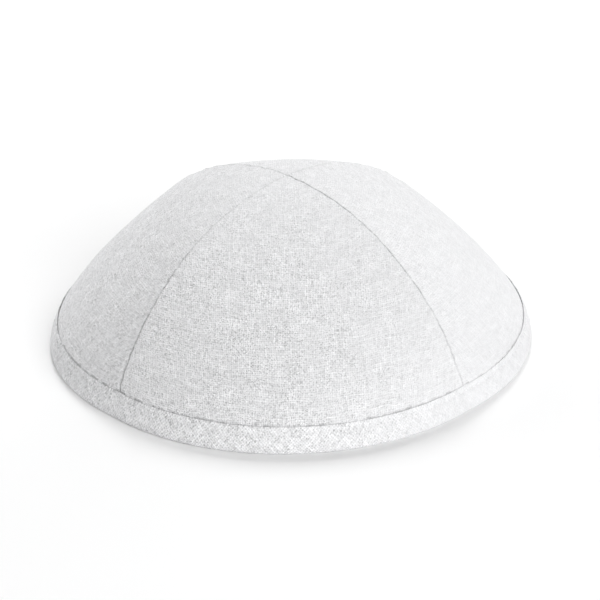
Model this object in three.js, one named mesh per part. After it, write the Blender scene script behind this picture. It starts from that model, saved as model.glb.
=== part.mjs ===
// A four-panel skullcap of white linen, lying open side down as it rests by itself.
// Millimetres, +Z up, origin on the floor under the crossing of the seams, front panel towards -Y.
// Four curved gores meet in four ridge seams, and a folded strip of the same cloth binds the rim.
import * as THREE from "three";

// Crown: the outer face of the cloth.
const crownRadius = 81.7; // from the axis to a seam, at the floor
const crownHeight = 60.5; // floor to where the four seams cross
const shoulder = 1.63; // seam profile (r / radius) ^ 2 + (z / height) ^ shoulder = 1
const panelWall = 1.4; // outer cloth, stiffener and inner cloth together

// How round a level section is between two seams: 0 is straight, 1 is a circle about the axis.
const rimFullness = 1.065;
const topFullness = 0.4;
const fullnessFade = 3.7; // how fast the rim's roundness gives way to the top's

// Seams between the panels.
const seamGap = 0.4; // clearance between two neighbouring panels
const seamRollDepth = 0.5; // how far the cloth's outer face rolls in at a seam
const seamRollWidth = 1.1; // how wide that roll is
const tipRadius = 1.3; // distance from the axis at which a panel ends, beside the crossing

// Rim band: a strip of cloth folded round the panels' lower edge.
const bandHeight = 8.9; // floor to the band's upper edges
const bandWall = 1.1;
const bandGap = 0.3; // clearance between the band and the panels inside it
const bandRoll = 1.2; // radius of the fold where the band stands on the floor
const lipRoll = 0.4; // rounding of the band's upper edges

// How finely the curved faces are cut.
const stepsInBand = 3;
const stepsAboveBand = 13;
const stepsAcross = 15;
const bandStepsPerPanel = 18;
const stepsPerCorner = 3;

const panelNames = ["front_panel", "right_panel", "back_panel", "left_panel"];
const halfAngle = Math.PI / panelNames.length;

const linen = new THREE.MeshStandardMaterial({ color: 0xeceded, roughness: 0.92, metalness: 0 });
const biasLinen = new THREE.MeshStandardMaterial({ color: 0xe9eaea, roughness: 0.94, metalness: 0 });

// A number of equal steps from one value to another, without the last value.
function steps(from, to, count) {
  return Array.from({ length: count }, (_, i) => THREE.MathUtils.lerp(from, to, i / count));
}

// The outer and inner faces of the panels follow one seam profile, each with its own radius and height.
const outerFace = { radius: crownRadius, height: crownHeight };
const innerFace = { radius: crownRadius - panelWall, height: crownHeight - panelWall };

// A face's profile by an angle that runs from 0 at the floor to a quarter turn at the top.
function profilePoint(face, angle) {
  return { r: face.radius * Math.cos(angle), z: face.height * Math.sin(angle) ** (2 / shoulder) };
}

// The angle at which a face's profile reaches a height.
function profileAngle(face, z) {
  return Math.asin((z / face.height) ** (shoulder / 2));
}

// Round as at the rim all the way up the band, and then less and less.
const seatAngle = profileAngle(innerFace, bandHeight);
function fullness(angle) {
  const share = Math.min(1, Math.cos(angle) / Math.cos(seatAngle));
  return topFullness + (rimFullness - topFullness) * share ** fullnessFade;
}

// The arc of a level section between two seams that lie at a distance r from the axis.
function sectionArc(r, full) {
  const chordOut = r * Math.cos(halfAngle);
  const chordHalf = r * Math.sin(halfAngle);
  const rise = (r - chordOut) * full;
  const radius = (chordHalf ** 2 + rise ** 2) / (2 * rise);
  return { centre: chordOut + rise - radius, radius };
}

// Points along that arc, for a panel that faces +X, from beside one seam to beside the other.
function arcPoints(arc, z, shares) {
  const offset = seamGap / 2 - arc.centre * Math.sin(halfAngle);
  const reach = halfAngle - Math.asin(offset / arc.radius);
  return shares.map((share) => {
    const turn = reach * share;
    return new THREE.Vector3(arc.centre + arc.radius * Math.cos(turn), arc.radius * Math.sin(turn), z);
  });
}

// Places across a panel, from -1 to 1, with a narrow step at each side for the seam's roll.
function sharesAcross(r) {
  const roll = Math.min(seamRollWidth / (r * Math.sin(halfAngle)), 1 / stepsAcross);
  return [-1, ...steps(roll - 1, 1 - roll, stepsAcross), 1 - roll, 1];
}

// One closed loop round a panel's wall: across the outer face, and back across the inner one.
function panelLoop(angle) {
  const outside = profilePoint(outerFace, angle);
  const inside = profilePoint(innerFace, angle);
  const full = fullness(angle);
  const shares = sharesAcross(outside.r);
  const outer = arcPoints(sectionArc(outside.r, full), outside.z, shares);
  const inner = arcPoints(sectionArc(inside.r, full), inside.z, shares);
  for (const edge of [0, outer.length - 1]) outer[edge].lerp(inner[edge], seamRollDepth / panelWall);
  return [...outer, ...inner.reverse()];
}

function indexedGeometry(points, faces) {
  const geometry = new THREE.BufferGeometry().setFromPoints(points);
  geometry.setIndex(faces);
  geometry.computeVertexNormals();
  return geometry;
}

// Triangles between pairs of neighbouring loops, for loops of equal length that close on themselves.
function loopFaces(pairs, count) {
  const faces = [];
  for (const [low, high] of pairs)
    for (let i = 0; i < count; i++) {
      const next = (i + 1) % count;
      faces.push(low * count + i, low * count + next, high * count + next);
      faces.push(low * count + i, high * count + next, high * count + i);
    }
  return faces;
}

// Triangles that close a loop made of two equal runs, one out and one back.
function capFaces(loop, count, facesOn) {
  const faces = [];
  const at = (i) => loop * count + i;
  for (let i = 0; i < count / 2 - 1; i++) {
    const corners = [at(i), at(i + 1), at(count - 2 - i), at(count - 1 - i)];
    const [a, b, c, d] = facesOn ? corners : corners.reverse();
    faces.push(a, b, c, a, c, d);
  }
  return faces;
}

// A panel starts inside the band.
// It has a section at the band's upper edge, where its roundness begins to fade.
function panelGeometry() {
  const start = profileAngle(outerFace, bandWall + bandGap);
  const end = Math.acos(tipRadius / crownRadius);
  const angles = [...steps(start, seatAngle, stepsInBand), ...steps(seatAngle, end, stepsAboveBand), end];
  const loops = angles.map(panelLoop);
  const count = loops[0].length;
  const last = loops.length - 1;
  const pairs = steps(0, last, last).map((i) => [i, i + 1]);
  const faces = [...loopFaces(pairs, count), ...capFaces(0, count, false), ...capFaces(last, count, true)];
  return indexedGeometry(loops.flat(), faces);
}

// Distance from the axis to the panels' outer or inner face, a clearance away, at a height within the band.
function bandReach(face, away, turn, z) {
  const arc = sectionArc(profilePoint(face, profileAngle(face, z)).r, rimFullness);
  const radius = arc.radius + away;
  return arc.centre * Math.cos(turn) + Math.sqrt(radius ** 2 - (arc.centre * Math.sin(turn)) ** 2);
}

// A rounded corner of the band's section, about a centre, from one direction in degrees to another.
function corner(x, y, radius, from, to) {
  const directions = [...steps(from, to, stepsPerCorner), to].map(THREE.MathUtils.degToRad);
  return directions.map((a) => new THREE.Vector2(x + radius * Math.cos(a), y + radius * Math.sin(a)));
}

// The band's section at a turn away from the middle of a panel, x from the axis and y up.
// It is a channel, open upwards, that the panels' lower edges stand in.
function bandSection(turn) {
  const lip = Math.min(lipRoll, 0.45 * bandWall);
  const fold = Math.min(bandRoll, 0.4 * (2 * bandWall + 2 * bandGap + panelWall));
  const lipStart = bandHeight - lip;
  const run = (face, away, from) => {
    const heights = [...steps(from, lipStart, stepsInBand), lipStart];
    return heights.map((z) => new THREE.Vector2(bandReach(face, away, turn, z), z));
  };
  const outside = run(outerFace, bandGap + bandWall, fold);
  const outerChannel = run(outerFace, bandGap, bandWall);
  const innerChannel = run(innerFace, -bandGap, bandWall);
  const inside = run(innerFace, -bandGap - bandWall, fold);
  const lipOver = (left, right) => [
    ...corner(right - lip, lipStart, lip, 0, 90),
    ...corner(left + lip, lipStart, lip, 90, 180),
  ];
  return [
    ...corner(inside[0].x + fold, fold, fold, 180, 270),
    ...corner(outside[0].x - fold, fold, fold, 270, 360),
    ...outside.slice(1, -1),
    ...lipOver(outerChannel.at(-1).x, outside.at(-1).x),
    ...outerChannel.slice(0, -1).reverse(),
    ...innerChannel.slice(0, -1),
    ...lipOver(inside.at(-1).x, innerChannel.at(-1).x),
    ...inside.slice(1, -1).reverse(),
  ];
}

function bandGeometry() {
  const turns = steps(-halfAngle, halfAngle, bandStepsPerPanel);
  const loops = panelNames.flatMap((_, i) =>
    turns.map((turn) => {
      const direction = turn + 2 * halfAngle * i;
      const place = (p) => new THREE.Vector3(p.x * Math.cos(direction), p.x * Math.sin(direction), p.y);
      return bandSection(turn).map(place);
    }),
  );
  const pairs = loops.map((_, i) => [(i + 1) % loops.length, i]);
  return indexedGeometry(loops.flat(), loopFaces(pairs, loops[0].length));
}

const cap = new THREE.Group();

const panel = panelGeometry();
panelNames.forEach((name, i) => {
  const mesh = new THREE.Mesh(panel, linen);
  mesh.name = name;
  mesh.rotation.z = 2 * halfAngle * i - Math.PI / 2;
  cap.add(mesh);
});

const band = new THREE.Mesh(bandGeometry(), biasLinen);
band.name = "rim_band";
cap.add(band);

export default cap;
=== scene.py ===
"""Builds the cloth, the stitching and the studio of a four-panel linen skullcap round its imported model."""

import math

import bmesh
import bpy
from bpy.props import FloatProperty, FloatVectorProperty, IntProperty, PointerProperty
from mathutils import Matrix, Vector, noise


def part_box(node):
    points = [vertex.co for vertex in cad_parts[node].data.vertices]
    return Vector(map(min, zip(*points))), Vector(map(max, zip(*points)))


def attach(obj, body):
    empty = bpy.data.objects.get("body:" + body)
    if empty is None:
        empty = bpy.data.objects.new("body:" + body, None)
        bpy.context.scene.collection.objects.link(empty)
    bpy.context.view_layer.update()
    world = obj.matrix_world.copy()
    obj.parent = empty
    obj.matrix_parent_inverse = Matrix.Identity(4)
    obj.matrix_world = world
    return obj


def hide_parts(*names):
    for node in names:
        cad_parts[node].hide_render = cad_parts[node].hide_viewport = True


bl_info = {
    "name": "Linen Skullcap",
    "version": (1, 0, 0),
    "blender": (4, 5, 0),
    "location": "3D View > Sidebar > Skullcap",
    "description": "Models a four-panel linen skullcap with a bias-cut rim band on a plain studio floor",
    "category": "Add Mesh",
}

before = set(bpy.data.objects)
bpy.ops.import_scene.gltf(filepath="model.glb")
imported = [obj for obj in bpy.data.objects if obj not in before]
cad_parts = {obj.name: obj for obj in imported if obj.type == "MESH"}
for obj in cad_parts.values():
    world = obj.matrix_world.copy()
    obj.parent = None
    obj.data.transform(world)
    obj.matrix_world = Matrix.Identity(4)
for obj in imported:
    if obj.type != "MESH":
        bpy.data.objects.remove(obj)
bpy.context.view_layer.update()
_, BAND_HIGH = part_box("rim_band")
_, PANEL_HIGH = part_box("front_panel")

PANELS = ("front_panel", "right_panel", "back_panel", "left_panel")
HALF_ANGLE = math.pi / len(PANELS)
FRONT = -math.pi / 2

MM = 0.001
BAND_PROUD = 1.4 * MM
RIM_FULLNESS = 1.065
CHORD_SHARE = math.cos(HALF_ANGLE)
SEAM_RADIUS = (BAND_HIGH.x - BAND_PROUD) / (CHORD_SHARE + (1 - CHORD_SHARE) * RIM_FULLNESS)

# How tightly each seam is drawn in, from the one between the front and the right panel on round the back.
SEAM_PULLS = (
    {"at_rim": 0.6, "at_top": 1.3},
    {"at_rim": 0.8, "at_top": 0.1},
    {"at_rim": 0.8, "at_top": 0.5},
    {"at_rim": 2.6, "at_top": 0.1},
)
SEAM_LENGTH = 110 * MM
MOST_ROLL_PULL = 1.5

# The cuts that give the roll beside a seam its faces, as shares of its width.
ROLL_STEPS = (0.1, 0.25, 0.45, 0.7, 1.0)
CUT_TOLERANCE = 1e-7

# A faint crease low on the front panel. Its ends are places on the cloth, sideways and up from the rim.
CREASE_START = Vector((31.0, 21.0)) * MM
CREASE_END = Vector((36.5, 9.5)) * MM
CREASE_BOW = 1.2 * MM
CREASE_WIDTH = 0.7 * MM
CREASE_HEIGHT = 0.28 * MM

FOLD_SEGMENTS = 6
LIP_SEGMENTS = 3
BAND_FACE_CUTS = 16
FURROW_DEPTH = 0.14 * MM

# The weave's painted shade and highlights and its bump fade towards the right, where the light falls
# brightest, and towards the top, between two places on X and on Z. Towards the right the painted shade in
# the grooves fades too.
RIGHT_SIDE = (0.0, 0.06)
WEAVE_FADE_RIGHT = 0.18
SHADE_RIGHT = 0.6
UPPER_PART = (0.04, 0.06)
WEAVE_FADE_TOP = 0.5

# The weave. The spread keeps neighbouring threads apart in the noise, so that each has slubs of its own. Its
# colour holds painted shade in the gaps between the threads and on sunken crossings, and painted highlights
# on raised threads and crossings.
THREAD_BEND = 1.6
SLUB_SPREAD = 3.17
LOW_CROSSING = 0.35
MEAN_THREAD = 0.52
THREAD_SHADE = 0.36
FLECK_HIGHLIGHT = 0.26
FLECK_SHADE = -0.3
# The darkest tone of the painted shade in the seams' grooves, along the band's upper edge and in the needle
# holes.
SHADE_TONE = 0.65
SLUB_BUMP = 0.12 * MM
WEAVE_BUMP = 0.08 * MM

FLOOR_HALF = 1.0
LIGHT_DISTANCE = 1.7

WEAVE_MAP = "weave"
# The point layer that holds painted shade: in the seams' grooves and along the band's upper edge.
SHADE_LAYER = "ditch_shade"


class SkullcapCrown(bpy.types.PropertyGroup):
    seam_radius: FloatProperty(
        name="Seam radius", description="From the axis to a seam at the floor",
        default=SEAM_RADIUS, unit="LENGTH", precision=5,
    )
    height: FloatProperty(
        name="Height", description="From the floor to the crossing of the seams",
        default=PANEL_HIGH.z, unit="LENGTH", precision=5,
    )
    shoulder: FloatProperty(
        name="Shoulder", description="Power of the seam profile: a higher one gives a fuller shoulder",
        default=1.63,
    )
    wall: FloatProperty(
        name="Wall", description="Outer cloth, stiffener and inner cloth together",
        default=1.4 * MM, unit="LENGTH", precision=5,
    )
    rim_fullness: FloatProperty(
        name="Rim fullness", description="Roundness of a level section at the rim, 1 for a circle",
        default=RIM_FULLNESS,
    )
    top_fullness: FloatProperty(
        name="Top fullness", description="Roundness of a level section at the top, 0 for a square",
        default=0.4,
    )
    fullness_fade: FloatProperty(
        name="Fullness fade", description="How fast the rim's roundness gives way to the top's",
        default=3.7,
    )
    seam_gap: FloatProperty(
        name="Seam gap", description="Clearance between two neighbouring panels at their inner face",
        default=0.02 * MM, unit="LENGTH", precision=5,
    )
    seam_groove: FloatProperty(
        name="Seam groove", description="Width of the groove between two panels at their outer face",
        default=0.08 * MM, unit="LENGTH", precision=5,
    )
    roll_depth: FloatProperty(
        name="Roll depth", description="How deep the cloth rolls in at a seam",
        default=0.4 * MM, unit="LENGTH", precision=5,
    )
    roll_width: FloatProperty(
        name="Roll width", description="How wide the cloth's roll is beside a seam",
        default=0.5 * MM, unit="LENGTH", precision=5,
    )
    seam_stitch: FloatProperty(
        name="Seam stitch", description="Length of a stitch in the seams between the panels",
        default=2.3 * MM, unit="LENGTH", precision=5,
    )
    wave_height: FloatProperty(
        name="Wave height", description="Height of the soft waves of the cloth",
        default=0.35 * MM, unit="LENGTH", precision=5,
    )
    pucker_height: FloatProperty(
        name="Pucker height", description="Height of the small puckers beside a seam",
        default=0.26 * MM, unit="LENGTH", precision=5,
    )
    rows: IntProperty(
        name="Rows", description="Rows of faces from the top of a panel to the rim",
        default=130,
    )


class SkullcapBand(bpy.types.PropertyGroup):
    height: FloatProperty(
        name="Height", description="From the floor to the band's upper edge",
        default=BAND_HIGH.z, unit="LENGTH", precision=5,
    )
    proud: FloatProperty(
        name="Proud", description="How far the band stands out from the panels",
        default=BAND_PROUD, unit="LENGTH", precision=5,
    )
    lip: FloatProperty(
        name="Lip", description="How far its upper edge stands out from the panels",
        default=0.44 * MM, unit="LENGTH", precision=5,
    )
    fold_radius: FloatProperty(
        name="Fold radius", description="Radius of the fold that the cap stands on",
        default=1.2 * MM, unit="LENGTH", precision=5,
    )
    lip_radius: FloatProperty(
        name="Lip radius", description="Rounding of the band's upper edges",
        default=0.18 * MM, unit="LENGTH", precision=5,
    )
    clearance: FloatProperty(
        name="Clearance", description="Between the band and the panels inside it",
        default=0.06 * MM, unit="LENGTH", precision=5,
    )
    stitch_drop: FloatProperty(
        name="Stitch drop", description="From the band's upper edge down to its row of stitches",
        default=1.8 * MM, unit="LENGTH", precision=5,
    )
    stitch_count: IntProperty(
        name="Stitches", description="Stitches round the rim",
        default=228,
    )
    stitch_thickness: FloatProperty(
        name="Thread", description="Thickness of the sewing thread",
        default=0.26 * MM, unit="LENGTH", precision=5,
    )
    steps_per_stitch: IntProperty(
        name="Steps per stitch", description="Faces along the band for each stitch",
        default=6,
    )


class SkullcapCloth(bpy.types.PropertyGroup):
    colour: FloatVectorProperty(
        name="Linen", description="Colour of the bleached linen",
        default=(0.756, 0.757, 0.767), subtype="COLOR", size=3, min=0, max=1,
    )
    thread_colour: FloatVectorProperty(
        name="Thread", description="Colour of the sewing thread",
        default=(0.86, 0.86, 0.87), subtype="COLOR", size=3, min=0, max=1,
    )
    pitch: FloatProperty(
        name="Pitch", description="Distance between two threads of the weave, in millimetres",
        default=0.74,
    )
    slub_length: FloatProperty(
        name="Slub length", description="Length of a thick place in a thread, in millimetres",
        default=5.0,
    )
    # It scales the weave's bump together with its painted shade and highlights.
    crispness: FloatProperty(
        name="Crispness", description="How strongly the weave shows, from pressed flat to raised",
        default=1.0, subtype="FACTOR", min=0, max=2,
    )


class SkullcapStudio(bpy.types.PropertyGroup):
    distance: FloatProperty(
        name="Distance", description="From the camera to the middle of the rim",
        default=0.8, unit="LENGTH",
    )
    elevation: FloatProperty(
        name="Elevation", description="Camera's angle above the floor",
        default=math.radians(27.82), subtype="ANGLE",
    )
    azimuth: FloatProperty(
        name="Azimuth", description="Camera's angle round the cap, from the middle of the front panel",
        default=math.radians(0.4), subtype="ANGLE",
    )
    roll: FloatProperty(
        name="Roll", description="Camera's tilt about its own line of sight",
        default=math.radians(-1.29), subtype="ANGLE",
    )
    lens: FloatProperty(
        name="Lens", description="Focal length, in millimetres",
        default=136.1,
    )
    look_up: FloatProperty(
        name="Look up", description="How far above the middle of the rim the camera aims",
        default=math.radians(0.81), subtype="ANGLE",
    )
    look_right: FloatProperty(
        name="Look right", description="How far to the right of the middle of the rim the camera aims",
        default=math.radians(0.227), subtype="ANGLE",
    )
    floor_colour: FloatVectorProperty(
        name="Floor", description="Colour of the studio floor",
        default=(0.95, 0.95, 0.95), subtype="COLOR", size=3, min=0, max=1,
    )
    sky_strength: FloatProperty(
        name="Sky", description="Strength of the even white light from all round",
        default=0.11,
    )
    key_power: FloatProperty(
        name="Key", description="Power of the large soft light in front and to the right",
        default=28.5, unit="POWER",
    )
    top_power: FloatProperty(
        name="Top", description="Power of the smaller light above and behind the cap",
        default=13.0, unit="POWER",
    )
    right_power: FloatProperty(
        name="Back right", description="Power of the large soft light behind and to the right",
        default=10.0, unit="POWER",
    )
    left_power: FloatProperty(
        name="Back left", description="Power of the large soft light behind and to the left",
        default=15.0, unit="POWER",
    )


def gore_angle(crown, height):
    """The profile's angle, from 0 at the floor to a quarter turn at the top, at a height."""
    return math.asin(min(1.0, height / crown.height) ** (crown.shoulder / 2))


def section_arc(radius, full):
    """Centre distance and radius of the arc between two seams that lie at a radius from the axis."""
    chord_out = radius * CHORD_SHARE
    chord_half = radius * math.sin(HALF_ANGLE)
    rise = (radius - chord_out) * full
    arc_radius = (chord_half**2 + rise**2) / (2 * rise)
    return chord_out + rise - arc_radius, arc_radius


def faded(distance, width):
    """1 beside an edge, falling to 0 at a width from it."""
    return max(0.0, 1.0 - distance / width) ** 2


class Gore:
    """The shape of one panel that faces +X: an angle runs up it, and a share across it from -1 to 1."""

    TIP_RADIUS = 0.3 * MM
    # The panel's lower edge, as a share of the band's height.
    FOOT = 0.16
    STEPS = 240

    def __init__(self, crown, band):
        self.seam_radius, self.height = crown.seam_radius, crown.height
        self.rise_power = 2 / crown.shoulder
        self.fullness = (crown.top_fullness, crown.rim_fullness, crown.fullness_fade)
        self.gap, self.groove, self.wall = crown.seam_gap, crown.seam_groove, crown.wall
        self.seat = math.cos(gore_angle(crown, band.height))
        self.low = gore_angle(crown, self.FOOT * band.height)
        self.lengths = self.mid_line()

    def section(self, angle, depth=0.0):
        """Centre distance, radius, height and half angle of the panel's level arc."""
        radius = max((self.seam_radius - depth) * math.cos(angle), self.TIP_RADIUS)
        height = (self.height - depth) * math.sin(angle) ** self.rise_power
        top, rim, fade = self.fullness
        share = max(0.0, min(1.0, math.cos(angle) / self.seat))
        centre, arc_radius = section_arc(radius, top + (rim - top) * share**fade)
        gap = self.gap + (self.groove - self.gap) * max(0.0, 1.0 - depth / self.wall)
        offset = gap / 2 - centre * math.sin(HALF_ANGLE)
        return centre, arc_radius, height, HALF_ANGLE - math.asin(max(-1.0, offset / arc_radius))

    def point(self, angle, share, depth=0.0):
        """The place of a share of the level arc, at a depth below the panel's outer face."""
        centre, arc_radius, height, reach = self.section(angle, depth)
        turn = reach * share
        return Vector((centre + arc_radius * math.cos(turn), arc_radius * math.sin(turn), height))

    def half_width(self, angle):
        """Distance along the cloth from the panel's middle line to its seam."""
        _, arc_radius, _, reach = self.section(angle)
        return arc_radius * reach

    def mid_line(self):
        """Length of the panel's middle line, from the rim to each of its steps."""
        angles = [self.low + (math.pi / 2 - self.low) * i / self.STEPS for i in range(self.STEPS + 1)]
        points = [self.point(a, 0.0) for a in angles]
        lengths = [0.0]
        for before, after in zip(points, points[1:]):
            lengths.append(lengths[-1] + (after - before).length)
        return lengths

    def along(self, angle):
        """Distance along the panel's middle line from the rim."""
        place = max(0.0, (angle - self.low) / (math.pi / 2 - self.low) * self.STEPS)
        step = min(int(place), self.STEPS - 1)
        start, end = self.lengths[step], self.lengths[step + 1]
        return start + (end - start) * (place - step)


def new_object(name, bm, material):
    """Turns a bmesh into a smooth object, and leaves it only those layers that its material reads."""
    for working in [layer for layer in bm.verts.layers.float.keys() if layer != SHADE_LAYER]:
        bm.verts.layers.float.remove(bm.verts.layers.float[working])
    mesh = bpy.data.meshes.new(name)
    bm.to_mesh(mesh)
    bm.free()
    mesh.polygons.foreach_set("use_smooth", [True] * len(mesh.polygons))
    mesh.materials.append(material)
    piece = bpy.data.objects.new(name, mesh)
    bpy.context.scene.collection.objects.link(piece)
    return piece


def everything(bm):
    """All the points, edges and faces, as the bmesh operators take them."""
    return bm.verts[:] + bm.edges[:] + bm.faces[:]


def gore_sheet(crown, gore):
    """A triangular sheet whose point is the panel's top and whose long side is its rim."""
    bm = bmesh.new()
    bmesh.ops.create_grid(bm, x_segments=2 * crown.rows, y_segments=2 * crown.rows, size=1.0)
    rim_width = gore.half_width(gore.low)
    roll_steps = [crown.roll_width / rim_width * share for share in ROLL_STEPS]
    for side in (-1, 1):
        bmesh.ops.bisect_plane(
            bm, geom=everything(bm), plane_co=(0, 0, 0), plane_no=(side, 1, 0),
            clear_outer=True, dist=CUT_TOLERANCE,
        )
    for side in (-1, 1):
        for inset in roll_steps:
            bmesh.ops.bisect_plane(
                bm, geom=everything(bm), plane_co=(0, -inset, 0), plane_no=(side, 1, 0), dist=CUT_TOLERANCE,
            )
    bmesh.ops.remove_doubles(bm, verts=bm.verts, dist=1e-5)
    return bm


def noise_along(place, rate, row, seed):
    """Smooth noise along a seam or an edge. A row and a seed give each use a course of its own."""
    return noise.noise(Vector((place * rate, row, seed)))


def cloth_wave(crown, place):
    """Soft unevenness of pressed linen, the same for every piece that passes a place."""
    wide = noise.noise(place * 28.0)
    narrow = noise.noise(place * 75.0 + Vector((3.1, 7.7, 1.9)))
    return crown.wave_height * (wide + 0.35 * narrow)


def seam_pull(crown, seam, up):
    """How tightly a seam is drawn in: more at each stitch, and differently from its rim to its top."""
    at_rim, at_top = SEAM_PULLS[seam]["at_rim"], SEAM_PULLS[seam]["at_top"]
    share = min(1.0, up / SEAM_LENGTH)
    drift = 0.4 * noise_along(up, rate=150.0, row=seam, seed=8.0)
    stitch = math.cos(2 * math.pi * (up / crown.seam_stitch + drift))
    uneven = noise_along(up, rate=180.0, row=5.0 * seam, seed=2.0)
    strength = at_top + (at_rim - at_top) * (1.0 - share) ** 1.5
    return strength * max(0.2, 0.75 + 0.35 * stitch + 0.8 * uneven)


def seam_roll(crown, pull, distance):
    """Depth of the cloth's roll, a quarter of an ellipse across the seam, never as deep as the wall."""
    near = max(0.0, 1.0 - distance / crown.roll_width)
    return crown.roll_depth * (0.4 + 0.6 * min(pull, MOST_ROLL_PULL)) * (1.0 - math.sqrt(1.0 - near * near))


def seam_pucker(crown, seam, up, distance):
    """Small puckers across a seam, where its stitches draw the cloth in, stronger near the band."""
    spacing = 6.0 * MM
    reach = 10 * MM
    near_band = faded(up, 35 * MM)
    drift = noise_along(up, rate=90.0, row=3.0 * seam, seed=0.0)
    ripple = math.sin(2 * math.pi * (up / spacing + drift))
    strength = 0.5 + noise_along(up, rate=40.0, row=3.0 * seam, seed=5.0) + 0.8 * near_band
    return crown.pucker_height * ripple * strength * faded(distance, reach)


def seam_wander(seam, up, distance):
    """How far a hand-guided seam strays sideways, the same for the cloth on both sides of it."""
    reach = 14 * MM
    stray = 0.45 * MM * noise_along(up, rate=35.0, row=7.0 * seam, seed=11.0)
    return stray * faded(distance, reach)


def crease_height(sideways, up):
    """How far the crease on the front panel lifts a place on the cloth."""
    run = CREASE_END - CREASE_START
    place = Vector((sideways, up)) - CREASE_START
    share = place.dot(run) / run.length_squared
    if not -0.3 < share < 1.3:
        return 0.0
    bow = CREASE_BOW * math.sin(math.pi * share)
    aside = (place.x * run.y - place.y * run.x) / run.length - bow
    return CREASE_HEIGHT * math.exp(-((aside / CREASE_WIDTH) ** 2)) * math.exp(-((2.0 * (share - 0.5)) ** 4))


def mark_places(bm, gore):
    """Gives each point of the flat sheet its place on the panel, and returns the layers that hold it."""
    layers = {name: bm.verts.layers.float.new(name) for name in ("angle", "share", "sideways", "up", SHADE_LAYER)}
    for vert in bm.verts:
        fall = max(-vert.co.y, 0.0)
        angle = math.pi / 2 - (math.pi / 2 - gore.low) * fall
        share = max(-1.0, min(1.0, vert.co.x / fall)) if fall > 1e-6 else 0.0
        vert[layers["angle"]], vert[layers["share"]] = angle, share
        vert[layers["sideways"]], vert[layers["up"]] = gore.half_width(angle) * share, gore.along(angle)
    return layers


def panel_mesh(crown, gore, sheet, number):
    """Bends the sheet to the outer face of a panel and a copy of it to the inner one, and joins them."""
    steadied = 18 * MM
    bm = sheet.copy()
    layers = mark_places(bm, gore)
    outer_edges = [e for e in bm.edges if e.is_boundary]
    copy = bmesh.ops.duplicate(bm, geom=everything(bm))["geom"]
    inner_faces = [g for g in copy if isinstance(g, bmesh.types.BMFace)]
    inner_verts = {g for g in copy if isinstance(g, bmesh.types.BMVert)}
    inner_edges = [g for g in copy if isinstance(g, bmesh.types.BMEdge) and g.is_boundary]
    turn = Matrix.Rotation(FRONT + 2 * HALF_ANGLE * number, 3, "Z")
    for vert in bm.verts:
        angle, share = vert[layers["angle"]], vert[layers["share"]]
        sideways, up = vert[layers["sideways"]], vert[layers["up"]]
        half_width = gore.half_width(angle)
        from_seam = max(0.0, half_width - abs(sideways))
        seam = number if share > 0 else (number - 1) % len(PANELS)
        above_band = 1.0 - faded(up, steadied)
        share += seam_wander(seam, up, from_seam) * above_band / half_width
        wave = cloth_wave(crown, turn @ gore.point(angle, share)) * above_band
        wave += seam_pucker(crown, seam, up, from_seam)
        pull = seam_pull(crown, seam, up) if from_seam < crown.roll_width else 0.0
        roll = seam_roll(crown, pull, from_seam)
        # Painted shade in the seam's groove, darker where the seam is drawn in tighter.
        vert[layers[SHADE_LAYER]] = pull * max(0.0, 1.0 - from_seam / crown.roll_width)
        if vert in inner_verts:
            depth = crown.wall + wave - 0.25 * roll
        else:
            depth = wave + roll
            if number == 0:
                depth -= crease_height(sideways, up)
        vert.co = turn @ gore.point(angle, share, depth)
    bmesh.ops.reverse_faces(bm, faces=inner_faces)
    bmesh.ops.bridge_loops(bm, edges=outer_edges + inner_edges)
    bmesh.ops.recalc_face_normals(bm, faces=bm.faces)
    weave = bm.loops.layers.uv.new(WEAVE_MAP)
    for face in bm.faces:
        for loop in face.loops:
            loop[weave].uv = (loop.vert[layers["sideways"]] / MM, loop.vert[layers["up"]] / MM)
    return bm


def band_reach(crown, azimuth, height, offset):
    """Distance from the axis to the panels' outer face, offset outwards, at a height within the band."""
    turn = (azimuth + HALF_ANGLE) % (2 * HALF_ANGLE) - HALF_ANGLE
    radius = crown.seam_radius * math.cos(gore_angle(crown, max(height, 0.0)))
    centre, arc_radius = section_arc(radius, crown.rim_fullness)
    return centre * math.cos(turn) + math.sqrt((arc_radius + offset) ** 2 - (centre * math.sin(turn)) ** 2)


def to_rim(crown, vert, change=0.0):
    """Moves a point from round the circle through the seams to the rim's own line."""
    azimuth = math.atan2(vert.co.y, vert.co.x)
    offset = math.hypot(vert.co.x, vert.co.y) - crown.seam_radius
    reach = band_reach(crown, azimuth, vert.co.z, offset + change)
    vert.co = Vector((math.cos(azimuth) * reach, math.sin(azimuth) * reach, vert.co.z))


def band_section(crown, band):
    """The band's section as a closed wire: a channel, open upwards, that the panels stand in."""
    inner_face = -crown.wall - band.clearance
    corners = {
        "outer_fold": (band.proud, 0.0),
        "outer_lip": (band.lip, band.height),
        "outer_ditch": (band.clearance, band.height),
        "channel_out": (band.clearance, band.proud),
        "channel_in": (inner_face, band.proud),
        "inner_ditch": (inner_face, band.height),
        "inner_lip": (-crown.wall - band.lip, band.height),
        "inner_fold": (-crown.wall - band.proud, 0.0),
    }
    bm = bmesh.new()
    verts = {name: bm.verts.new((crown.seam_radius + x, 0.0, z)) for name, (x, z) in corners.items()}
    names = list(corners)
    for name, following in zip(names, names[1:] + names[:1]):
        bm.edges.new((verts[name], verts[following]))
    for pair, radius, segments in (
        (("outer_fold", "inner_fold"), band.fold_radius, FOLD_SEGMENTS),
        (("outer_lip", "outer_ditch", "inner_ditch", "inner_lip"), band.lip_radius, LIP_SEGMENTS),
    ):
        bmesh.ops.bevel(
            bm, geom=[verts[n] for n in pair], offset=radius, segments=segments,
            profile=0.5, material=-1, affect="VERTICES",
        )
    middle = crown.seam_radius - crown.wall / 2
    shown = [
        e for e in bm.edges
        if abs(e.verts[0].co.z - e.verts[1].co.z) > band.height / 2
        and abs(e.verts[0].co.x + e.verts[1].co.x - 2 * middle) > crown.wall + band.lip
    ]
    bmesh.ops.subdivide_edges(bm, edges=shown, cuts=BAND_FACE_CUTS)
    return bm


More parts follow.
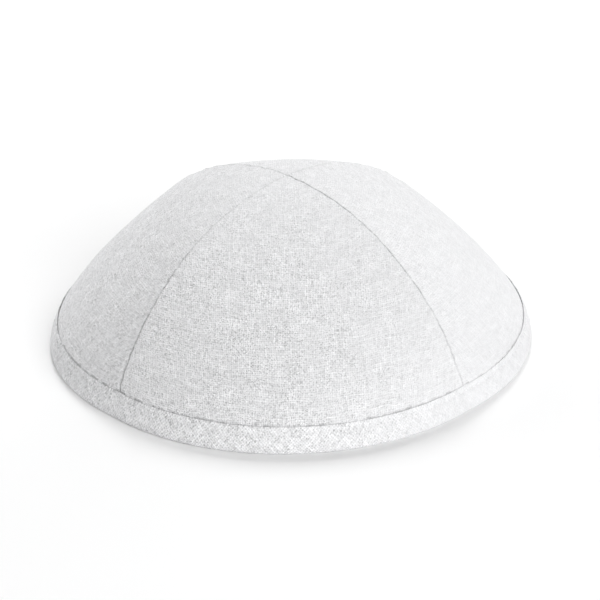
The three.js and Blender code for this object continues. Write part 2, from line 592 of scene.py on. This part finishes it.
def stitch_depth(band, place, height):
    """How far the thread draws the band in, at a place counted in stitches and a height."""
    furrow_width = 0.5 * MM
    hole_depth = 0.34 * MM
    level = band.height - band.stitch_drop
    furrow = math.exp(-(((height - level) / furrow_width) ** 2))
    hole = (0.5 + 0.5 * math.cos(2 * math.pi * place)) ** 5
    number = math.floor(place + 0.5)
    pull = 0.6 + 0.8 * noise_along(number, rate=0.71, row=3.3, seed=0.5)
    return furrow * (FURROW_DEPTH + hole_depth * pull * hole)


def lip_lift(band, place, height):
    """How far the band's upper edge stands off the panels between two of the stitches that hold it."""
    loose = 0.8 * MM
    most = 0.24 * MM
    rise = max(0.0, min(1.0, (height - band.height + loose) / loose))
    between = 0.5 - 0.5 * math.cos(2 * math.pi * place)
    uneven = 0.7 + 0.9 * noise_along(place, rate=0.37, row=8.1, seed=2.5)
    return most * rise * between * max(0.0, uneven)


def lip_shade(band, place, from_panel, left_shade):
    """Painted shade in the groove between the band's upper edge and a panel: how deep a point lies in it, in
    uneven dashes, heavier on the left.
    """
    near = max(0.0, min(1.0, (0.9 * band.lip - from_panel) / (0.5 * band.lip)))
    uneven = noise_along(place, rate=0.45, row=1.4, seed=6.3)
    return near * max(0.0, min(1.6, 0.35 + 2.2 * uneven + 0.8 * left_shade))


def band_swell(band, azimuth, height, side):
    """How far the band's face puffs out between its fold and its stitches, with small ripples."""
    puff_height = 0.2 * MM
    ripple_height = 0.16 * MM
    puff = puff_height * math.sin(math.pi * min(1.0, height / (band.height - band.stitch_drop)))
    ripple = noise.noise(Vector((azimuth * 26.0 + height * 260.0, height * 90.0, 2.0 * side)))
    return puff + ripple_height * ripple


def unroll_band(bm, crown, layers):
    """Maps the band's weave in millimetres, along the rim and up its faces from the fold."""
    middle = -crown.wall / 2
    weave = bm.loops.layers.uv.new(WEAVE_MAP)
    for face in bm.faces:
        centre = face.calc_center_median()
        start = math.atan2(centre.y, centre.x)
        outwards = Matrix.Rotation(-start, 3, "Z")
        for loop in face.loops:
            local = outwards @ loop.vert.co
            azimuth = start + math.atan2(local.y, local.x)
            offset, height = loop.vert[layers["offset"]], loop.vert[layers["height"]]
            rise = height if offset > middle else -height
            loop[weave].uv = (azimuth * crown.seam_radius / MM, (rise + offset) / MM)


def band_mesh(crown, band):
    """Spins the band's section round the rim, and shapes it by the stitches that hold it."""
    soft_edge = 0.3 * MM
    steady_height = 2 * MM
    bm = band_section(crown, band)
    bmesh.ops.spin(
        bm, geom=bm.verts[:] + bm.edges[:], cent=(0, 0, 0), axis=(0, 0, 1), dvec=(0, 0, 0),
        angle=math.pi / 2, steps=band.stitch_count * band.steps_per_stitch // 4,
        use_merge=False, use_duplicate=False,
    )
    for axis in ("X", "Y"):
        bmesh.ops.mirror(bm, geom=everything(bm), matrix=Matrix.Identity(4), merge_dist=1e-6, axis=axis)
    layers = {name: bm.verts.layers.float.new(name) for name in ("offset", "height", SHADE_LAYER)}
    middle = -crown.wall / 2
    for vert in bm.verts:
        azimuth = math.atan2(vert.co.y, vert.co.x)
        offset = math.hypot(vert.co.x, vert.co.y) - crown.seam_radius
        height = vert.co.z
        vert[layers["offset"]], vert[layers["height"]] = offset, height
        side = 1 if offset > middle else -1
        from_panel = abs(offset - middle) - crown.wall / 2
        shown = max(0.0, min(1.0, (from_panel - 0.5 * band.lip) / soft_edge))
        off_floor = min(1.0, height / steady_height)
        place = band.stitch_count * azimuth / (2 * math.pi)
        # Painted shade along the band's upper edge is heavier on the left, where the light is weaker.
        left_shade = max(0.0, -math.cos(azimuth) - 0.2)
        vert[layers[SHADE_LAYER]] = lip_shade(band, place, from_panel, left_shade)
        swell = band_swell(band, azimuth, height, side) * off_floor - stitch_depth(band, place, height)
        to_rim(crown, vert, side * (shown * swell + lip_lift(band, place, height)))
    bmesh.ops.recalc_face_normals(bm, faces=bm.faces)
    unroll_band(bm, crown, layers)
    return bm


def stitch_mesh(crown, band):
    """Rows of short threads that lie in the furrows of the band's outer and inner face."""
    bm = bmesh.new()
    level = band.height - band.stitch_drop
    step = 2 * math.pi / band.stitch_count
    half_thread = band.stitch_thickness / 2
    half_share = 0.38
    half_length = half_share * step * crown.seam_radius
    share = level / band.height
    face = band.proud + (band.lip - band.proud) * share - FURROW_DEPTH
    for offset in (face, -crown.wall - face):
        place = Matrix.Translation((crown.seam_radius + offset, 0, level))
        size = Matrix.Diagonal((half_thread, half_length, half_thread, 1.0))
        turn = Matrix.Rotation(step / 2, 4, "Z")
        bmesh.ops.create_uvsphere(bm, u_segments=8, v_segments=6, radius=1.0, matrix=turn @ place @ size)
    bmesh.ops.spin(
        bm, geom=everything(bm), cent=(0, 0, 0), axis=(0, 0, 1), dvec=(0, 0, 0),
        angle=2 * math.pi - step, steps=band.stitch_count - 1, use_merge=False, use_duplicate=True,
    )
    for vert in bm.verts:
        to_rim(crown, vert)
    bmesh.ops.recalc_face_normals(bm, faces=bm.faces)
    return bm


class Graph:
    """A short way to add and join a material's nodes."""

    def __init__(self, name):
        self.material = bpy.data.materials.new(name)
        self.material.use_nodes = True
        self.tree = self.material.node_tree
        self.shader = self.tree.nodes["Principled BSDF"]

    def join(self, source, socket):
        if hasattr(source, "is_output"):
            self.tree.links.new(source, socket)
        else:
            socket.default_value = source

    def math(self, operation, first, second=0.0, third=0.0):
        node = self.tree.nodes.new("ShaderNodeMath")
        node.operation = operation
        for value, socket in zip((first, second, third), node.inputs):
            self.join(value, socket)
        return node.outputs[0]

    def product(self, *factors):
        result = factors[0]
        for factor in factors[1:]:
            result = self.math("MULTIPLY", result, factor)
        return result

    def combine(self, x=0.0, y=0.0, z=0.0):
        node = self.tree.nodes.new("ShaderNodeCombineXYZ")
        for value, socket in zip((x, y, z), node.inputs):
            self.join(value, socket)
        return node.outputs[0]

    def separate(self, vector):
        node = self.tree.nodes.new("ShaderNodeSeparateXYZ")
        self.join(vector, node.inputs[0])
        return node.outputs

    def noise(self, vector, scale, detail=0.0):
        node = self.tree.nodes.new("ShaderNodeTexNoise")
        self.join(vector, node.inputs["Vector"])
        node.inputs["Scale"].default_value = scale
        node.inputs["Detail"].default_value = detail
        return node.outputs["Fac"]

    def scatter(self, vector):
        """A value of its own for each cell."""
        node = self.tree.nodes.new("ShaderNodeTexWhiteNoise")
        self.join(vector, node.inputs["Vector"])
        return node.outputs["Value"]

    def span(self, value, low, high, to_low=0.0, to_high=1.0):
        node = self.tree.nodes.new("ShaderNodeMapRange")
        for source, socket in zip((value, low, high, to_low, to_high), node.inputs):
            self.join(source, socket)
        return node.outputs[0]

    def bump(self, height, distance, normal=None):
        node = self.tree.nodes.new("ShaderNodeBump")
        node.inputs["Distance"].default_value = distance
        self.join(height, node.inputs["Height"])
        if normal is not None:
            self.join(normal, node.inputs["Normal"])
        return node.outputs["Normal"]

    def tint(self, colour, factor):
        """The colour times a factor."""
        node = self.tree.nodes.new("ShaderNodeVectorMath")
        node.operation = "SCALE"
        node.inputs[0].default_value = colour
        self.join(factor, node.inputs["Scale"])
        return node.outputs[0]

    def weave_place(self):
        """A place on the cloth in millimetres, along the rim and up from it."""
        weave = self.tree.nodes.new("ShaderNodeUVMap")
        weave.uv_map = WEAVE_MAP
        return weave.outputs[0]

    def turned(self, vector, angle, shift):
        """The place turned to the cloth's grain."""
        grain = self.tree.nodes.new("ShaderNodeMapping")
        grain.inputs["Rotation"].default_value = (0, 0, angle)
        grain.inputs["Location"].default_value = (shift, 0.37 * shift, 0)
        self.join(vector, grain.inputs["Vector"])
        return grain.outputs[0]

    def object_place(self):
        """A place in the shared frame, in metres."""
        return self.tree.nodes.new("ShaderNodeTexCoord").outputs["Object"]

    def attribute(self, name):
        node = self.tree.nodes.new("ShaderNodeAttribute")
        node.attribute_name = name
        return node.outputs["Fac"]


def needle_hole_shade(graph, crown, band):
    """Painted shade in the needle holes between the stitches of the band's outer row: 1 at a hole, 0 away
    from it.
    """
    around, rise, _ = graph.separate(graph.weave_place())
    pitch = 2 * math.pi * crown.seam_radius / band.stitch_count / MM
    level = band.height - band.stitch_drop
    face = band.proud + (band.lip - band.proud) * level / band.height
    place = graph.math("DIVIDE", around, pitch)
    number = graph.math("ROUND", place)
    aside = graph.product(graph.math("SUBTRACT", place, number), pitch)
    above = graph.math("SUBTRACT", rise, (level + face) / MM)
    distance = graph.math("ADD", graph.product(aside, aside), graph.product(above, above))
    seen = graph.span(graph.scatter(graph.combine(number, 4.0)), 0.7, 0.95)
    return graph.product(graph.span(distance, 0.02, 0.16, 1.0, 0.0), seen)


def rim_shadow_line(graph, level):
    """Painted shadow on a panel along the band's upper edge, in uneven dashes and heavier on the left: 1 on
    the line, 0 away from it.
    """
    aside, up, _ = graph.separate(graph.weave_place())
    above = graph.math("ABSOLUTE", graph.math("SUBTRACT", up, level))
    # The painted shadow is heavier towards the left, where the light is weaker.
    left_shade = graph.span(graph.separate(graph.object_place())[0], -0.07, -0.02, 0.15, 0.0)
    uneven = graph.noise(graph.combine(aside, 0.0, 2.0), 0.33, 1.0)
    dashes = graph.span(graph.math("ADD", uneven, left_shade), 0.5, 0.64)
    return graph.product(graph.span(above, 0.15, 0.6, 1.0, 0.0), dashes)


def woven_threads(graph, cloth, flat):
    """Places counted in threads across the warp and across the weft, and the slubs of both."""
    across, up, _ = graph.separate(flat)
    bend = graph.math("SUBTRACT", graph.noise(flat, 0.11), 0.5)
    warp = graph.math("DIVIDE", graph.math("MULTIPLY_ADD", bend, THREAD_BEND, across), cloth.pitch)
    weft = graph.math("DIVIDE", graph.math("MULTIPLY_ADD", bend, -THREAD_BEND, up), cloth.pitch)
    warp_row = graph.product(graph.math("FLOOR", warp), SLUB_SPREAD)
    weft_row = graph.product(graph.math("FLOOR", weft), SLUB_SPREAD)
    warp_run = graph.math("DIVIDE", up, cloth.slub_length)
    weft_run = graph.math("DIVIDE", across, cloth.slub_length)
    warp_slub = graph.noise(graph.combine(warp_row, warp_run, 1.0), 1.0, 1.0)
    weft_slub = graph.noise(graph.combine(weft_run, weft_row, 9.0), 1.0, 1.0)
    return warp, weft, warp_slub, weft_slub


def thread_relief(graph, warp, weft, warp_slub, weft_slub):
    """Height of whichever thread lies on top, falling to 0 in the gaps between threads."""
    warp_wave = graph.math("SINE", graph.product(warp, math.pi))
    weft_wave = graph.math("SINE", graph.product(weft, math.pi))
    over = graph.math("MULTIPLY_ADD", graph.product(warp_wave, weft_wave), 0.5, 0.5)
    under = graph.math("SUBTRACT", 1.0, over)
    heights = []
    for wave, lift, slub in ((warp_wave, over, warp_slub), (weft_wave, under, weft_slub)):
        lifted = graph.math("MULTIPLY_ADD", lift, 1.0 - LOW_CROSSING, LOW_CROSSING)
        thickness = graph.span(slub, 0.3, 0.7, 0.5, 1.4)
        heights.append(graph.product(graph.math("ABSOLUTE", wave), lifted, thickness))
    return graph.math("MAXIMUM", *heights)


def crossing_flecks(graph, warp, weft, seed):
    """Where crossings stand up and where they sink, each from 0 to 1 on cells half a thread wide."""
    half_threads = [graph.math("FLOOR", graph.product(run, 2.0)) for run in (warp, weft)]
    crossing = graph.scatter(graph.combine(*half_threads, seed))
    return graph.span(crossing, 0.0, 0.35, 1.0, 0.0), graph.span(crossing, 0.75, 0.95)


def linen_material(name, cloth, grain_angle, shift, shade_mark):
    """Plain-woven linen: uneven threads with slubs and raised crossings, with painted shade in the gaps
    between the threads, painted highlights on raised threads and crossings, and painted shade where the
    shade layer and the shade mark put it.
    """
    graph = Graph(name)
    flat = graph.turned(graph.weave_place(), grain_angle, shift)
    warp, weft, warp_slub, weft_slub = woven_threads(graph, cloth, flat)
    thread = thread_relief(graph, warp, weft, warp_slub, weft_slub)
    raised, sunken = crossing_flecks(graph, warp, weft, shift)
    streak = graph.math("ADD", warp_slub, weft_slub)

    place_x, _, place_z = graph.separate(graph.object_place())
    # The weave's painted shade and highlights, and its bump, fade towards the right, where the light falls
    # brightest, and towards the top.
    right_fade = graph.span(place_x, *RIGHT_SIDE, 1.0, WEAVE_FADE_RIGHT)
    top_fade = graph.span(place_z, *UPPER_PART, 1.0, WEAVE_FADE_TOP)
    patch = graph.span(graph.noise(flat, 0.1, 2.0), 0.4, 0.6, 0.8, 1.15)
    crisp = graph.product(patch, graph.product(right_fade, top_fade), cloth.crispness)

    lowered = graph.math("SUBTRACT", thread, graph.product(sunken, 0.5))
    height = graph.math("MULTIPLY_ADD", raised, 0.5, lowered)
    # Painted shade in the gaps between the threads and on sunken crossings, and painted highlights on raised
    # threads and crossings.
    level_thread = graph.math("SUBTRACT", thread, MEAN_THREAD)
    fleck_light = graph.math("MULTIPLY_ADD", raised, FLECK_HIGHLIGHT, graph.product(sunken, FLECK_SHADE))
    weave_shade = graph.math("MULTIPLY_ADD", level_thread, THREAD_SHADE, fleck_light)
    weave_shade_tone = graph.math("MULTIPLY_ADD", crisp, weave_shade, 1.0)
    # Thicker slubs are lighter: partly the yarn's own tone and partly painted light, as a thick slub stands
    # out of the shade between threads.
    slub_tone = graph.span(streak, 0.7, 1.3, 0.965, 1.035)
    # Painted shade in the seams' grooves, along the band's upper edge and in the needle holes, weaker
    # towards the right, where the light falls brightest.
    shade_amount = graph.math("ADD", graph.attribute(SHADE_LAYER), shade_mark(graph))
    shade_fade = graph.span(place_x, *RIGHT_SIDE, 1.0, SHADE_RIGHT)
    painted_shade_tone = graph.span(graph.product(shade_amount, shade_fade), 0.0, 1.0, 1.0, SHADE_TONE)
    tone = graph.product(weave_shade_tone, slub_tone, painted_shade_tone)

    shader = graph.shader
    graph.join(graph.tint(tuple(cloth.colour), tone), shader.inputs["Base Color"])
    graph.join(graph.span(height, 0.0, 1.2, 0.97, 0.85), shader.inputs["Roughness"])
    shader.inputs["Specular IOR Level"].default_value = 0.25
    shader.inputs["Sheen Weight"].default_value = 0.1
    shader.inputs["Sheen Roughness"].default_value = 0.6
    slubs = graph.bump(streak, SLUB_BUMP)
    graph.join(graph.bump(graph.product(height, crisp), WEAVE_BUMP, slubs), shader.inputs["Normal"])
    return graph.material


def thread_material(cloth):
    """Sewing thread, with the fine uneven ridges of its plies."""
    graph = Graph("sewing_thread")
    ply = graph.noise(graph.object_place(), 5200.0, 1.0)
    shade = graph.span(ply, 0.3, 0.7, 0.93, 1.04)
    graph.join(graph.tint(tuple(cloth.thread_colour), shade), graph.shader.inputs["Base Color"])
    graph.shader.inputs["Roughness"].default_value = 0.7
    graph.join(graph.bump(ply, 0.05 * MM), graph.shader.inputs["Normal"])
    return graph.material


class MESH_OT_skullcap_panels(bpy.types.Operator):
    """Model the four panels of the crown"""

    bl_idname = "mesh.skullcap_panels"
    bl_label = "Crown Panels"

    def execute(self, context):
        scene = context.scene
        crown = scene.skullcap_crown
        gore = Gore(crown, scene.skullcap_band)
        sheet = gore_sheet(crown, gore)
        level = gore.along(gore_angle(crown, scene.skullcap_band.height)) / MM
        linen = linen_material(
            "linen", scene.skullcap_cloth, grain_angle=0.0, shift=0.0,
            shade_mark=lambda graph: rim_shadow_line(graph, level),
        )
        for number, node in enumerate(PANELS):
            piece = new_object(f"{node}_cloth", panel_mesh(crown, gore, sheet, number), linen)
            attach(piece, "root")
            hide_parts(node)
        sheet.free()
        return {"FINISHED"}


class MESH_OT_skullcap_band(bpy.types.Operator):
    """Model the bias strip that is folded round the rim"""

    bl_idname = "mesh.skullcap_band"
    bl_label = "Rim Band"

    def execute(self, context):
        scene = context.scene
        crown, band = scene.skullcap_crown, scene.skullcap_band
        bias = linen_material(
            "bias_linen", scene.skullcap_cloth, grain_angle=math.radians(45), shift=13.0,
            shade_mark=lambda graph: needle_hole_shade(graph, crown, band),
        )
        piece = new_object("rim_band_cloth", band_mesh(crown, band), bias)
        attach(piece, "root")
        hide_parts("rim_band")
        return {"FINISHED"}


class MESH_OT_skullcap_stitches(bpy.types.Operator):
    """Model the rows of stitches along the rim band"""

    bl_idname = "mesh.skullcap_stitches"
    bl_label = "Rim Stitches"

    def execute(self, context):
        scene = context.scene
        thread = thread_material(scene.skullcap_cloth)
        piece = new_object("rim_stitches", stitch_mesh(scene.skullcap_crown, scene.skullcap_band), thread)
        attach(piece, "root")
        return {"FINISHED"}


def studio_floor(studio):
    """A plain matt square that the cap stands on."""
    graph = Graph("studio_floor")
    graph.shader.inputs["Base Color"].default_value = (*studio.floor_colour, 1.0)
    graph.shader.inputs["Roughness"].default_value = 1.0
    graph.shader.inputs["Specular IOR Level"].default_value = 0.0
    bm = bmesh.new()
    bmesh.ops.create_grid(bm, x_segments=1, y_segments=1, size=FLOOR_HALF)
    new_object("studio_floor", bm, graph.material)


def studio_sky(studio):
    """An even light from all round, which looks plain white past the floor's edge."""
    world = bpy.data.worlds.new("studio_sky")
    world.use_nodes = True
    nodes, links = world.node_tree.nodes, world.node_tree.links
    sky = nodes["Background"]
    sky.inputs["Color"].default_value = (1.0, 1.0, 1.0, 1.0)
    seen = nodes.new("ShaderNodeMapRange")
    seen.inputs["To Min"].default_value = studio.sky_strength
    seen.inputs["To Max"].default_value = 1.0
    links.new(nodes.new("ShaderNodeLightPath").outputs["Is Camera Ray"], seen.inputs["Value"])
    links.new(seen.outputs["Result"], sky.inputs["Strength"])
    bpy.context.scene.world = world


def studio_light(name, azimuth, elevation, size, power):
    """A square soft light that faces the cap, at an azimuth in degrees from the front towards the right."""
    side, rise = math.radians(azimuth), math.radians(elevation)
    level = math.cos(rise)
    direction = Vector((math.sin(side) * level, -math.cos(side) * level, math.sin(rise)))
    lamp = bpy.data.lights.new(name, "AREA")
    lamp.energy = power
    lamp.size = size
    light = bpy.data.objects.new(name, lamp)
    light.location = direction * LIGHT_DISTANCE
    light.rotation_euler = (-direction).to_track_quat("-Z", "Y").to_euler()
    bpy.context.scene.collection.objects.link(light)


def studio_camera(studio):
    """A long lens that looks down at the front panel."""
    data = bpy.data.cameras.new("camera")
    data.lens = studio.lens
    data.sensor_width = 36.0
    data.clip_start = 0.01
    camera = bpy.data.objects.new("camera", data)
    camera.matrix_world = (
        Matrix.Rotation(studio.azimuth, 4, "Z")
        @ Matrix.Rotation(math.pi / 2 - studio.elevation, 4, "X")
        @ Matrix.Translation((0, 0, studio.distance))
        @ Matrix.Rotation(studio.roll, 4, "Z")
        @ Matrix.Rotation(studio.look_up, 4, "X")
        @ Matrix.Rotation(-studio.look_right, 4, "Y")
    )
    bpy.context.scene.collection.objects.link(camera)
    bpy.context.scene.camera = camera


class SCENE_OT_skullcap_stage(bpy.types.Operator):
    """Set up the floor, the lights and the camera"""

    bl_idname = "scene.skullcap_stage"
    bl_label = "Stage"

    def execute(self, context):
        studio = context.scene.skullcap_studio
        studio_camera(studio)
        studio_floor(studio)
        studio_sky(studio)
        studio_light("key_light", azimuth=30, elevation=26, size=1.5, power=studio.key_power)
        studio_light("top_light", azimuth=180, elevation=50, size=0.5, power=studio.top_power)
        studio_light("back_right_light", azimuth=150, elevation=30, size=1.5, power=studio.right_power)
        studio_light("back_left_light", azimuth=-120, elevation=22, size=1.5, power=studio.left_power)
        context.scene.view_settings.view_transform = "Standard"
        return {"FINISHED"}


class VIEW3D_PT_skullcap(bpy.types.Panel):
    """Lists the skullcap's sizes and the steps that build it"""

    bl_label = "Skullcap"
    bl_idname = "VIEW3D_PT_skullcap"
    bl_space_type = "VIEW_3D"
    bl_region_type = "UI"
    bl_category = "Skullcap"

    def draw(self, context):
        for name in SETTINGS:
            group = getattr(context.scene, name)
            box = self.layout.box()
            for prop in group.bl_rna.properties:
                if prop.identifier not in ("rna_type", "name"):
                    box.prop(group, prop.identifier)
        for operator in OPERATORS:
            self.layout.operator(operator.bl_idname)


SETTINGS = {
    "skullcap_crown": SkullcapCrown,
    "skullcap_band": SkullcapBand,
    "skullcap_cloth": SkullcapCloth,
    "skullcap_studio": SkullcapStudio,
}
OPERATORS = (
    SCENE_OT_skullcap_stage,
    MESH_OT_skullcap_panels,
    MESH_OT_skullcap_band,
    MESH_OT_skullcap_stitches,
)
CLASSES = (*SETTINGS.values(), *OPERATORS, VIEW3D_PT_skullcap)


def register():
    for cls in CLASSES:
        bpy.utils.register_class(cls)
    for name, group in SETTINGS.items():
        setattr(bpy.types.Scene, name, PointerProperty(type=group))


def unregister():
    for name in SETTINGS:
        delattr(bpy.types.Scene, name)
    for cls in reversed(CLASSES):
        bpy.utils.unregister_class(cls)


def main():
    register()
    bpy.ops.scene.skullcap_stage()
    bpy.ops.mesh.skullcap_panels()
    bpy.ops.mesh.skullcap_band()
    bpy.ops.mesh.skullcap_stitches()


if __name__ == "__main__":
    main()
